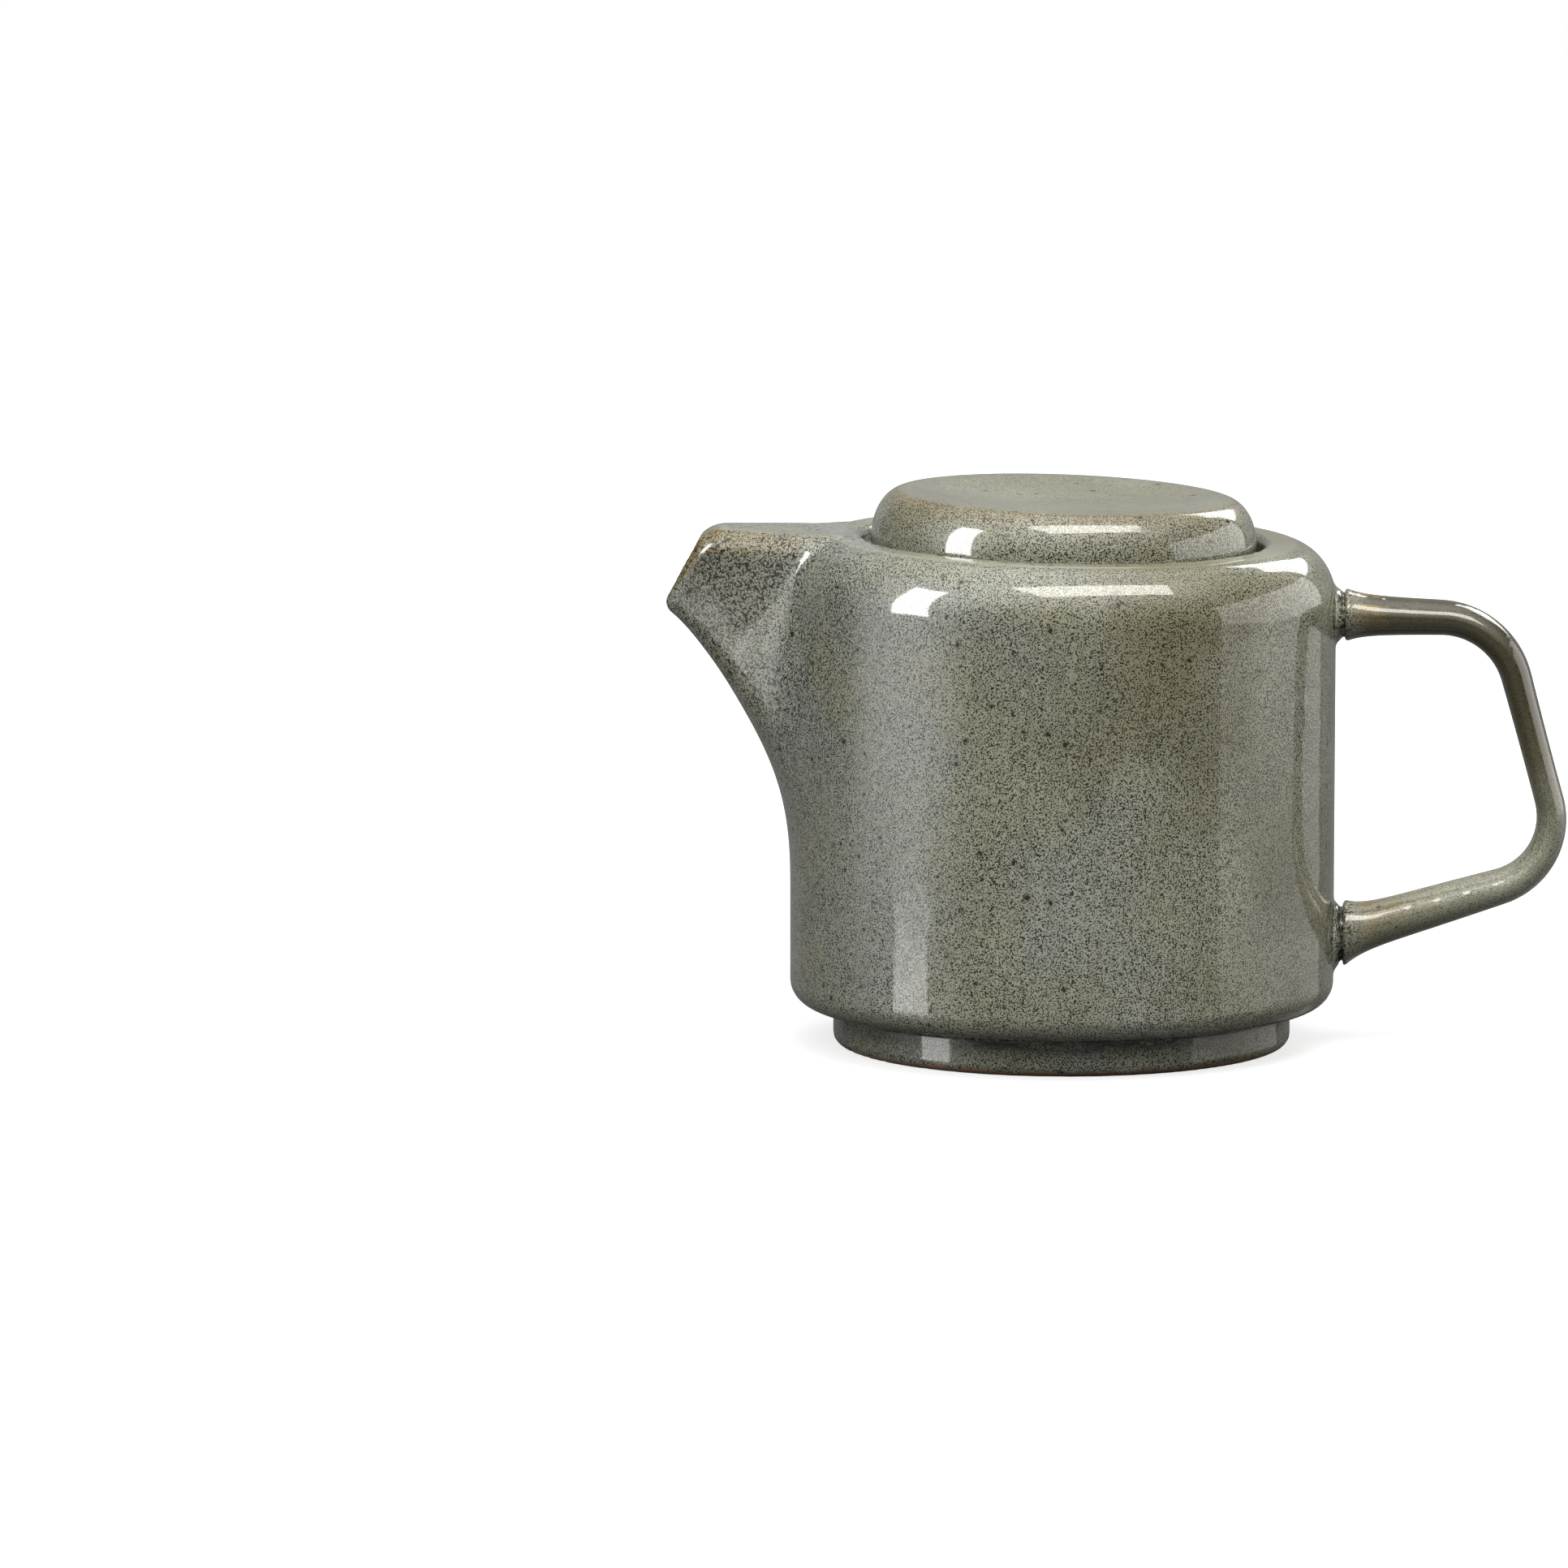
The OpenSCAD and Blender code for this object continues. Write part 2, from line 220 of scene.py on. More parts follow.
def handle_path():
    """Points of the centre line in the plane y = 0: straight runs, with an arc at each corner."""
    def arc(a, c, b, r):
        u, w = (a - c) / np.linalg.norm(a - c), (b - c) / np.linalg.norm(b - c)
        half = math.acos(float(u @ w)) / 2
        centre = c + (u + w) / np.linalg.norm(u + w) * r / math.sin(half)
        f, t = c + u * r / math.tan(half) - centre, c + w * r / math.tan(half) - centre
        g0, g1 = math.atan2(f[1], f[0]), math.atan2(t[1], t[0])
        g = np.linspace(g0, g1, path_steps)[:, None]
        return centre + r * np.hstack([np.cos(g), np.sin(g)])

    ends = (handle_zone_x, handle_top_z), (handle_zone_x, handle_low_z)
    p = [np.array(q, float) for q in (ends[0], corner_top, corner_low, ends[1])]
    top, low = arc(p[0], p[1], p[2], bend_top_r), arc(p[1], p[2], p[3], bend_low_r)
    t = np.linspace(0, 1, path_steps)[:, None]
    first = p[0] + (top[0] - p[0]) * t
    grip = top[-1] + (low[0] - top[-1]) * t
    last = low[-1] + (p[3] - low[-1]) * t
    pts = np.concatenate([first, top, grip, low, last])
    keep = np.concatenate([[True], np.linalg.norm(np.diff(pts, axis=0), axis=1) > 1e-6])
    return pts[keep]


path = handle_path()
path_dir = np.gradient(path, axis=0)
path_dir /= np.linalg.norm(path_dir, axis=1)[:, None]
path_s = np.concatenate([[0], np.cumsum(np.linalg.norm(np.diff(path, axis=0), axis=1))])
path_s /= path_s[-1]


def handle(x, y, z):
    """Distance to the handle: an oval section on the nearest point of its centre line. Its two axes swell
    towards a collar at each end, with a seam where the collar meets the wall."""
    flat = np.stack([x, z], 1)
    near = np.empty(len(flat), int)
    batch = 20000
    for i in range(0, len(flat), batch):
        part = flat[i:i + batch]
        near[i:i + batch] = np.argmin(((part[:, None] - path[None]) ** 2).sum(2), axis=1)
    rel = flat - path[near]
    across = rel[:, 1] * path_dir[near, 0] - rel[:, 0] * path_dir[near, 1]
    along = (rel * path_dir[near]).sum(1)
    beyond = np.where((near == 0) | (near == len(path) - 1), np.abs(along), 0)
    s = path_s[near]
    out = np.maximum(x - body_r, 0)
    past_seam = smoothstep(collar_x + collar_rise[0], collar_x + collar_rise[1], out)
    swell = flare * (collar_share + (1 - collar_share) * past_seam)
    swell = swell * np.exp(-np.maximum(out - collar_x, 0) / flare_length)
    swell = swell - 2 * seam_depth * np.exp(-((out - collar_x + seam_back) / seam_half) ** 2)
    arch = np.sin(np.pi * s)
    upper = arm_t + (grip_t - arm_t) * arch ** arm_thinning
    lower = low_arm_t + (grip_t - low_arm_t) * arch ** low_arm_thinning
    half_t = np.where(s < 0.5, upper + swell, lower + low_flare * swell) / 2
    half_w = (grip_w + side_flare * swell) / 2
    k0 = np.hypot(across / half_t, y / half_w)
    k1 = np.hypot(across / half_t ** 2, y / half_w ** 2)
    return np.hypot(k0 * (k0 - 1) / np.maximum(k1, 1e-6), beyond) * np.sign(k0 - 1)


def solid(p):
    """Distance of each point from the clay of the pot, negative inside it. Millimetres."""
    x, y, z = p[..., 0], p[..., 1], p[..., 2]
    radial = np.hypot(x, y)
    level = z - leaning(x, y, top_lean) * smoothstep(top_lean_from, top_lean_to, z)
    d = drum(radial, level, body_r, foot_h, body_h, heel_r, shoulder_r, shoulder_drop)
    foot = drum(radial, z, foot_r, 0, foot_h + overlap, foot_edge_r, foot_top_r)
    d = join(d, foot, foot_fillet)

    near = x < spout_zone_x
    xn, yn, zn = x[near], y[near], z[near]
    outer, channel, mouth = spout(xn, yn, zn)
    fillet = joint_high + joint_more * smoothstep(joint_high_z, joint_low_z, zn)
    round_off = lip_low_r + (nose_r - lip_low_r) * smoothstep(lip_low_z, nose_z, zn)
    beak = both(both(outer, mouth, round_off), xn + spout_root - overlap, spout_end_r)
    d[near] = melt(d[near], beak, fillet)

    by_handle = (x > handle_zone_x) & (np.abs(y) < handle_zone_y)
    grip = handle(x[by_handle], y[by_handle], z[by_handle])
    d[by_handle] = join(d[by_handle], grip, handle_fillet)

    seat = z - seat_z - leaning(x, y, seat_lean)
    chamber = drum(radial, z, body_r - wall_t, floor_z, body_h, inner_r, inner_r)
    recess = drum(radial, z, foot_in_r, recess_from_z, foot_h, recess_low_r, recess_top_r)
    throat = np.abs(seat + throat_below) - throat_half
    d = both(d, -both(chamber, seat + ledge_t, ledge_under_r), ledge_edge_r)
    d = both(d, -both(radial - opening_r, -seat, seat_corner_r), rim_r)
    d = both(d, -both(radial - throat_r, throat, throat_end_r), throat_edge_r)
    d = both(d, -recess, recess_edge_r)

    bore = both(channel, mouth - channel_past_mouth, channel_end_r)
    bore = both(bore, body_r - radial[near], strainer_r)
    d_near = both(d[near], -bore, channel_lip_r)
    ring = [(hole_ring_r * math.cos(a), hole_z + hole_ring_r * math.sin(a)) for a in np.arange(6) * np.pi / 3]
    holes = np.min([np.hypot(yn - cy, zn - cz) for cy, cz in [(0.0, hole_z)] + ring], axis=0) - hole_r
    holes = both(holes, np.abs(-xn - hole_mid) - hole_half, hole_end_r)
    d[near] = both(d_near, -holes, hole_edge_r)
    return d


def slope(p, h=0.02):
    """Direction in which the distance grows and how fast it does, from central differences."""
    g = np.stack([solid(p + e) - solid(p - e) for e in np.eye(3) * h], -1) / (2 * h)
    return g / np.maximum(np.linalg.norm(g, axis=1), 1e-9)[:, None], np.linalg.norm(g, axis=1)


def grid_lines(*stops):
    """Grid lines along one axis, from stop to stop in steps of about the size given with each stop."""
    runs = [np.linspace(a, b, max(2, round((b - a) / step) + 1))[:-1]
            for (a, step), (b, _) in zip(stops, stops[1:])]
    return np.concatenate(runs + [[stops[-1][0]]])


def surface_net(lines, value):
    """Quads round the surface value = 0 of a grid: a vertex in each cell that the surface crosses, and a
    face round each grid edge that it crosses, turned outwards."""
    inside = value < 0
    total = np.zeros([n - 1 for n in value.shape] + [3])
    count = np.zeros([n - 1 for n in value.shape])
    crossings = []
    for axis in range(3):
        a = [slice(None)] * 3
        b = [slice(None)] * 3
        a[axis], b[axis] = slice(None, -1), slice(1, None)
        va, vb = value[tuple(a)], value[tuple(b)]
        cut = inside[tuple(a)] != inside[tuple(b)]
        idx = np.argwhere(cut)
        t = va[cut] / (va[cut] - vb[cut])
        pos = np.stack([lines[k][idx[:, k]] for k in range(3)], 1)
        step = lines[axis][idx[:, axis] + 1] - lines[axis][idx[:, axis]]
        pos[:, axis] += t * step
        u, w = (axis + 1) % 3, (axis + 2) % 3
        for du in (0, 1):
            for dw in (0, 1):
                cell = idx.copy()
                cell[:, u] -= du
                cell[:, w] -= dw
                np.add.at(total, tuple(cell.T), pos)
                np.add.at(count, tuple(cell.T), 1)
        crossings.append((idx, u, w, inside[tuple(a)][cut]))
    used = count > 0
    number = np.full(count.shape, -1)
    number[used] = np.arange(used.sum())
    points = total[used] / count[used][:, None]
    faces = []
    for idx, u, w, from_inside in crossings:
        corners = []
        for du, dw in ((1, 1), (0, 1), (0, 0), (1, 0)):
            cell = idx.copy()
            cell[:, u] -= du
            cell[:, w] -= dw
            corners.append(number[tuple(cell.T)])
        quad = np.stack(corners, 1)
        quad[~from_inside] = quad[~from_inside][:, ::-1]
        faces.append(quad)
    return points, np.concatenate(faces)


def make_mesh(name, points, faces, normals=None):
    """Smooth mesh object from an array of points in millimetres and a list of faces, with its own normals
    if they are given."""
    mesh = bpy.data.meshes.new(name)
    mesh.from_pydata((points * MM).tolist(), [], faces)
    mesh.validate()
    mesh.shade_smooth()
    if normals is not None:
        mesh.normals_split_custom_set_from_vertices(normals.tolist())
    obj = bpy.data.objects.new(name, mesh)
    bpy.context.scene.collection.objects.link(obj)
    return obj


def add_attribute(obj, name, values):
    """Value at each vertex, for the material to read."""
    values = np.asarray(values, np.float32)
    obj.data.attributes.new(name, "FLOAT", "POINT").data.foreach_set("value", values)


# The stops lie off the flat faces, so that the net has no edge with more than two faces.
grid = (
    grid_lines((-74.11, 0.85), (-38, 1.6), (40, 1.0), (48.6, 0.4), (52.6, 0.9), (93, 1)),
    grid_lines((-50.57, 1.5), (-14.07, 0.75), (13.93, 1.5), (50.51, 1)),
    grid_lines((-1.37, 0.8), (12.63, 1.15), (70.03, 0.9), (96.03, 1)),
)
pulls, longest_pull, least_steep = 4, 0.6, 0.5
curve_reach = 1.2

points, faces = surface_net(grid, solid(np.stack(np.meshgrid(*grid, indexing="ij"), -1)))
for _ in range(pulls):
    direction, steep = slope(points)
    pull = np.clip(solid(points) / np.maximum(steep, least_steep), -longest_pull, longest_pull)
    points = points - direction * pull[:, None]
normals, _ = slope(points)
curvature = sum(solid(points + e) + solid(points - e) for e in np.eye(3) * curve_reach) / curve_reach ** 2
pot = make_mesh("pot", points, faces.tolist(), normals)
add_attribute(pot, "curve", curvature)
add_attribute(pot, "up", normals[:, 2])
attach(pot, "root")
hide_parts("body")


# Lid
# A thick turned disc of the same clay with a shallow dish in its top and a flange that drops into the
# throat. It is one profile turned about its axis, and lies loose on the leaning ledge.
lid_r = 34.6
lid_h = 11.6
lid_edge_r, lid_edge_drop = 5.6, 8.4
lid_low_r = 0.8
dish_r = 26.0
dish_depth = 2.2
crest_in, crest_out = 5.0, 2.5
flange_r = 30.0
flange_h = 8.0
flange_tip_r = 1.2
lid_t = 4.0
roof_r = 2.0
roof_rise = 0.6
segments = 256
bend_over = 7


def arc(cx, cz, r, start, end, steps):
    """Points of an arc in the (radius, height) plane, with angles in degrees from +radius towards +height."""
    g = np.radians(np.linspace(start, end, steps))
    return np.stack([cx + r * np.cos(g), cz + r * np.sin(g)], 1)


def lathe(profile, segments):
    """Closed skin of a profile that starts and ends on the axis, turned about it: one point on each pole."""
    g = np.linspace(0, 2 * np.pi, segments, endpoint=False)
    ring = profile[1:-1]
    body = np.stack([np.outer(ring[:, 0], np.cos(g)), np.outer(ring[:, 0], np.sin(g)),
                     np.repeat(ring[:, 1:], segments, 1)], -1).reshape(-1, 3)
    pts = np.concatenate([body, [[0, 0, profile[0, 1]], [0, 0, profile[-1, 1]]]])
    n, m = len(ring), segments
    i, j = np.meshgrid(np.arange(n - 1), np.arange(m), indexing="ij")
    k = (j + 1) % m
    quads = np.stack([i * m + j, i * m + k, (i + 1) * m + k, (i + 1) * m + j], -1).reshape(-1, 4)
    j = np.arange(m)
    k = (j + 1) % m
    first = np.stack([np.full(m, n * m), k, j], 1)
    last = np.stack([np.full(m, n * m + 1), (n - 1) * m + j, (n - 1) * m + k], 1)
    return pts, quads[:, ::-1].tolist() + np.concatenate([first, last])[:, ::-1].tolist()


def lid_profile():
    """Outline of the lid from the middle of the dish over the crest, the side and the flange to the hollow.
    The dish is an arc that blends into the level crest."""
    bowl = (dish_r ** 2 + dish_depth ** 2) / (2 * dish_depth)
    r = np.linspace(0, dish_r + crest_out, 26)
    dish = np.stack([r, lid_h - dish_depth + bowl - np.sqrt(bowl ** 2 - r ** 2)], 1)
    blend = smoothstep(dish_r - crest_in, dish_r + crest_out, r)
    dish[:, 1] = dish[:, 1] * (1 - blend) + lid_h * blend
    edge = arc(lid_r - lid_edge_r, 0, lid_edge_r, 90, 0, 20)
    edge[:, 1] = lid_h - lid_edge_drop + edge[:, 1] * lid_edge_drop / lid_edge_r
    foot = arc(lid_r - lid_low_r, lid_low_r, lid_low_r, 0, -90, 6)
    side_z = np.linspace(edge[-1, 1], foot[0, 1], 6)[1:-1]
    side = np.stack([np.full(len(side_z), lid_r), side_z], 1)
    root = arc(flange_r + lid_low_r, -lid_low_r, lid_low_r, 90, 180, 5)
    tip_z = -flange_h + flange_tip_r
    tip = arc(flange_r - flange_tip_r, tip_z, flange_tip_r, 0, -90, 6)
    inner = arc(flange_r - lid_t + flange_tip_r, tip_z, flange_tip_r, -90, -180, 6)
    roof_z = lid_h - dish_depth - lid_t
    roof = arc(flange_r - lid_t - roof_r, roof_z - roof_r, roof_r, 0, 90, 6)
    roof_run = np.linspace(flange_r - lid_t - 2 * roof_r, 0, 8)
    hollow = np.stack([roof_run, roof_z + (roof_run / bowl) ** 2 * bowl / 2 * roof_rise], 1)
    return np.concatenate([dish, edge, side, foot, root, tip, inner, roof, hollow])


def tilt(p, lean, at):
    """Leans points down to +X by lean[0] and to -Y by lean[1] about the origin, then lifts them by at."""
    a, b = lean
    p = np.stack([p[:, 0] * math.cos(a) + p[:, 2] * math.sin(a), p[:, 1],
                  -p[:, 0] * math.sin(a) + p[:, 2] * math.cos(a)], 1)
    p = np.stack([p[:, 0], p[:, 1] * math.cos(b) - p[:, 2] * math.sin(b),
                  p[:, 1] * math.sin(b) + p[:, 2] * math.cos(b)], 1)
    return p + [0, 0, at]


def round_profile(values):
    """Values of a profile's points as values of the lathe's vertices: rings first, then the two poles."""
    return np.concatenate([np.repeat(values[1:-1], segments), values[[0, -1]]])


profile = lid_profile()
points, faces = lathe(profile, segments)
lid = make_mesh("pot_lid", tilt(points, seat_lean, seat_z), faces)
run = np.gradient(profile, axis=0)
run_length = np.maximum(np.linalg.norm(run, axis=1), 1e-6)
turn = np.unwrap(np.arctan2(run[:, 1], run[:, 0]))
bend = -np.gradient(turn) / run_length
bend = np.convolve(np.pad(bend, bend_over // 2, "edge"), np.ones(bend_over) / bend_over, "valid")
add_attribute(lid, "curve", round_profile(bend))
add_attribute(lid, "up", round_profile(run[:, 0] / run_length))
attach(lid, "root")
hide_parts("lid")


# Glaze
# A pale grey-green glaze that iron breaks through in fine brown-black dots, coarser at the spout. It runs
# thin and ochre on edges and pools dark in hollows, and the foot is bare. Shade is painted in too: a dark
# broken band under the heel, and fewer dots on level tops, partly the glaze and partly a painted sheen.
# Scales are noise cells to the metre, lengths are metres, and each material keeps its own shader.
ground_grey = (0.310, 0.312, 0.240, 1)
ground_blue = (0.300, 0.318, 0.285, 1)
ground_olive = (0.175, 0.165, 0.098, 1)
ground_brown = (0.058, 0.052, 0.028, 1)
speck_dark = (0.014, 0.012, 0.006, 1)
speck_brown = (0.060, 0.045, 0.018, 1)
ochre = (0.230, 0.165, 0.056, 1)
# Dark of pooled glaze, also used for the painted shade under the heel.
pool_and_shade_dark = (0.022, 0.022, 0.017, 1)
clay_bare = (0.230, 0.130, 0.065, 1)

cloud_scale, drift_scale, mottle_scale, ragged_scale = 45.0, 30.0, 650.0, 520.0
fine_scale, fine_crisp, fine_many, fine_few = 4100.0, 18.0, 0.515, 0.55
medium_scale, medium_crisp, medium_level = 2700.0, 22.0, 0.70
coarse_scale, coarse_crisp, coarse_many, coarse_few = 1900.0, 26.0, 0.585, 0.67
fine_cover, dark_cover = 0.94, 0.95
spot_spacing, spot_size, spot_share, spot_soft = 0.0031, 0.10, 0.75, 0.05
spot_halo = 0.45
swell_scale, swell_height, pit_depth = 160.0, 0.00008, 0.000006
gloss_rough, thin_rough, bare_rough = 0.055, 0.10, 0.75
glaze_ior = 1.75


class Net:
    """Short calls that add nodes to a tree. An input given as a socket is linked, any other is set."""
    def __init__(self, tree):
        self.tree = tree

    def put(self, socket, value):
        if isinstance(value, bpy.types.NodeSocket):
            self.tree.links.new(value, socket)
        else:
            socket.default_value = value

    def node(self, kind, inputs=(), **settings):
        n = self.tree.nodes.new(kind)
        for key, value in settings.items():
            setattr(n, key, value)
        for key, value in dict(inputs).items():
            self.put(n.inputs[key], value)
        return n

    def math(self, op, a, b=0.0, c=0.0, clamp=False):
        return self.node("ShaderNodeMath", {0: a, 1: b, 2: c}, operation=op, use_clamp=clamp).outputs[0]

    def ramp(self, value, lo, hi, to_lo=0.0, to_hi=1.0):
        span = {"Value": value, "From Min": lo, "From Max": hi, "To Min": to_lo, "To Max": to_hi}
        return self.node("ShaderNodeMapRange", span, interpolation_type="SMOOTHSTEP").outputs["Result"]

    def mix(self, amount, a, b):
        return self.node("ShaderNodeMix", {0: amount, 6: a, 7: b}, data_type="RGBA").outputs[2]

    def noise(self, where, scale, detail=2.0, rough=0.5):
        inputs = {"Vector": where, "Scale": scale, "Detail": detail, "Roughness": rough}
        return self.node("ShaderNodeTexNoise", inputs).outputs["Fac"]

    def vector(self, op, a, b=(0, 0, 0), scale=1.0):
        return self.node("ShaderNodeVectorMath", {0: a, 1: b, 3: scale}, operation=op).outputs[0]

    def value(self, op, a, b=(0, 0, 0)):
        return self.node("ShaderNodeVectorMath", {0: a, 1: b}, operation=op).outputs["Value"]


def node_group(name, inputs, outputs):
    """Empty shader node group with the named sockets, and what its inputs give inside it."""
    tree = bpy.data.node_groups.new(name, "ShaderNodeTree")
    for label, socket, value in inputs:
        item = tree.interface.new_socket(label, in_out="INPUT", socket_type="NodeSocket" + socket)
        if value is not None:
            item.default_value = value
    for label, socket in outputs:
        tree.interface.new_socket(label, in_out="OUTPUT", socket_type="NodeSocket" + socket)
    net = Net(tree)
    return tree, net, net.node("NodeGroupInput").outputs


def glaze_dots():
    """Large dots. A share of the cells holds one, and the size differs from cell to cell. Mask is the dot
    and Halo the stain round it. The size is a share of the spacing."""
    inputs = [("Where", "Vector", None), ("Spacing", "Float", 0.0008), ("Size", "Float", 0.3),
              ("Share", "Float", 1.0), ("Soft", "Float", 0.12)]
    tree, net, given = node_group("GlazeDots", inputs, [("Mask", "Float"), ("Halo", "Float")])
    scale = net.math("DIVIDE", 1.0, given["Spacing"])
    wobble_inputs = {"Vector": given["Where"], "Scale": net.math("MULTIPLY", scale, 1.3), "Detail": 1.0}
    wobble = net.node("ShaderNodeTexNoise", wobble_inputs).outputs["Color"]
    centred = net.vector("SUBTRACT", wobble, (0.5, 0.5, 0.5))
    moved = net.vector("SCALE", centred, scale=net.math("MULTIPLY", given["Spacing"], 0.3))
    cell_inputs = {"Vector": net.vector("ADD", given["Where"], moved), "Scale": scale}
    cells = net.node("ShaderNodeTexVoronoi", cell_inputs).outputs
    own = net.node("ShaderNodeSeparateColor", {"Color": cells["Color"]}).outputs
    present = net.math("LESS_THAN", own[0], given["Share"])
    size = net.math("MULTIPLY", given["Size"], net.math("MULTIPLY_ADD", own[1], 0.8, 0.6))
    edge = net.math("DIVIDE", net.math("SUBTRACT", size, cells["Distance"]), given["Soft"])
    mask = net.math("MULTIPLY", net.math("ADD", edge, 0.5, clamp=True), present)
    reach = net.math("SUBTRACT", net.math("MULTIPLY", size, 2.6), cells["Distance"])
    fade = net.math("DIVIDE", reach, net.math("MULTIPLY", size, 2.0), clamp=True)
    net.node("NodeGroupOutput", {"Mask": mask, "Halo": net.math("MULTIPLY", fade, present)})
    return tree


def speckled_glaze(spots_group):
    """Colour, surface height in metres and roughness of the glaze. Thin, Pool, Coarse, Olive, Blue, Brown,
    Dots and Spots say how much there is of each at the point."""
    amounts = {"Thin": 0.0, "PoolAndShade": 0.0, "Coarse": 0.0, "Olive": 0.3, "Blue": 0.3, "Brown": 0.0,
               "Dots": 1.0, "Spots": 1.0}
    inputs = [("Where", "Vector", None)] + [(label, "Float", value) for label, value in amounts.items()]
    outputs = [("Color", "Color"), ("Height", "Float"), ("Roughness", "Float")]
    tree, net, given = node_group("SpeckledGlaze", inputs, outputs)
    where = given["Where"]

    def specks(scale, crisp, level, offset):
        """Dots where a noise rises past the level. The offset gives each size a noise of its own."""
        grain = net.noise(net.vector("ADD", where, (offset, offset, offset)), scale, 0.0)
        return net.math("MULTIPLY", net.math("SUBTRACT", grain, level), crisp, clamp=True)

    cloud = net.noise(where, cloud_scale, 3.0)
    drift = net.noise(net.vector("ADD", where, (0.3, 0.1, 0.7)), drift_scale, 2.0)
    mottle = net.noise(where, mottle_scale, 3.0, 0.6)
    blue = net.math("MULTIPLY", net.ramp(cloud, 0.4, 0.62), given["Blue"])
    olive = net.math("MULTIPLY", net.ramp(drift, 0.38, 0.64), given["Olive"])
    ground = net.mix(blue, ground_grey, ground_blue)
    ground = net.mix(olive, ground, ground_olive)
    ground = net.mix(net.ramp(mottle, 0.42, 0.72, 0.0, 0.4), ground, ground_olive)
    ground = net.mix(given["Brown"], ground, ground_brown)
    ragged = net.ramp(net.noise(where, ragged_scale, 3.0, 0.65), 0.36, 0.6)
    thin = net.math("MULTIPLY", given["Thin"], net.math("MULTIPLY_ADD", ragged, 0.8, 0.45), clamp=True)
    ground = net.mix(thin, ground, ochre)

    level = net.ramp(net.noise(where, 90.0, 2.0), 0.3, 0.65, fine_few, fine_many)
    level = net.math("MULTIPLY_ADD", thin, -0.04, level)
    fine = specks(fine_scale, fine_crisp, level, 0.0)
    fine = net.math("MULTIPLY", fine, net.math("MULTIPLY", given["Dots"], fine_cover))
    patchy = net.ramp(net.noise(where, 150.0, 2.0), 0.3, 0.62, coarse_few, coarse_many)
    coarse = net.math("MULTIPLY", specks(coarse_scale, coarse_crisp, patchy, 0.21), given["Coarse"])
    medium = specks(medium_scale, medium_crisp, medium_level, 0.57)
    coarse = net.math("MAXIMUM", coarse, net.math("MULTIPLY", medium, given["Dots"]))
    share = net.math("MULTIPLY", given["Spots"], spot_share)
    spot_inputs = {"Where": net.vector("ADD", where, (0.43, 0.43, 0.43)), "Spacing": spot_spacing,
                   "Size": spot_size, "Share": share, "Soft": spot_soft}
    group = net.node("ShaderNodeGroup", node_tree=spots_group)
    for key, value in spot_inputs.items():
        net.put(group.inputs[key], value)
    spots, stain = group.outputs["Mask"], group.outputs["Halo"]

    ground = net.mix(net.math("MULTIPLY", stain, spot_halo), ground, speck_brown)
    fine_colour = net.mix(net.math("MULTIPLY", thin, 0.8), speck_dark, speck_brown)
    colour = net.mix(fine, ground, fine_colour)
    colour = net.mix(net.math("MULTIPLY", coarse, dark_cover), colour, speck_dark)
    colour = net.mix(net.math("MULTIPLY", spots, dark_cover), colour, speck_dark)
    # Pooled glaze and the painted shade under the heel darken the colour here.
    colour = net.mix(given["PoolAndShade"], colour, pool_and_shade_dark)
    pits = net.math("MAXIMUM", fine, net.math("MAXIMUM", coarse, spots))
    swell = net.math("MULTIPLY", net.noise(where, swell_scale, 1.0), swell_height)
    height = net.math("SUBTRACT", swell, net.math("MULTIPLY", pits, pit_depth))
    rough = net.math("MULTIPLY_ADD", thin, thin_rough, gloss_rough)
    net.node("NodeGroupOutput", {"Color": colour, "Height": height, "Roughness": rough})
    return tree


glaze_group = speckled_glaze(glaze_dots())


def glazed(name, amounts, masks):
    """Glossy glaze material. amounts sets the group's constants, masks(net, point, curve, up) its links.
    A mask named Bare shows the clay instead of the glaze."""
    mat = bpy.data.materials.new(name)
    mat.use_nodes = True
    mat.node_tree.nodes.clear()
    net = Net(mat.node_tree)
    point = net.node("ShaderNodeTexCoord").outputs["Object"]
    curve = net.node("ShaderNodeAttribute", attribute_name="curve").outputs["Fac"]
    up = net.node("ShaderNodeAttribute", attribute_name="up").outputs["Fac"]
    glaze = net.node("ShaderNodeGroup", node_tree=glaze_group)
    links = masks(net, point, curve, up)
    bare = links.pop("Bare", 0.0)
    for key, value in {**amounts, **links, "Where": point}.items():
        net.put(glaze.inputs[key], value)
    colour = net.mix(bare, glaze.outputs["Color"], clay_bare)
    rough = net.math("MAXIMUM", glaze.outputs["Roughness"], net.math("MULTIPLY", bare, bare_rough))
    bump = net.node("ShaderNodeBump", {"Height": glaze.outputs["Height"], "Strength": 1.0, "Distance": 1.0})
    shader_inputs = {"Base Color": colour, "Roughness": rough, "IOR": glaze_ior, "Normal": bump.outputs[0]}
    shader = net.node("ShaderNodeBsdfPrincipled", shader_inputs)
    net.node("ShaderNodeOutputMaterial", {"Surface": shader.outputs[0]})
    return mat


# Places on the pot between which its masks rise, in metres, and the bends that count as edge or hollow.
handle_starts, joint_fades = (0.0495, 0.056), (0.060, 0.050)
beak_x, beak_z = (-0.040, -0.052), (0.080, 0.088)
coarse_x, coarse_z = (-0.022, -0.050), (0.030, 0.075)
seam_in_x, seam_out_x = (0.0486, 0.0496), (0.0530, 0.0516)
bare_ragged, bare_edge = 0.0022, (-0.0003, 0.0)
pool_x, heel_shade_low_z, heel_shade_high_z = (-0.035, -0.025), (0.0040, 0.0062), (0.0082, 0.0070)
arm_z, streak_x = (0.030, 0.068), (0.066, 0.052)
olive_x, blue_x, spots_x = (-0.025, 0.025), (-0.01, 0.04), (-0.045, 0.04)
pot_edge, pot_hollow, lid_edge = (0.16, 0.42), (-0.08, -0.4), (0.09, 0.26)
# Upward slopes past which dots thin out: partly the glaze, partly a painted sheen that washes them out.
flat_up_sheen = (0.94, 0.99)


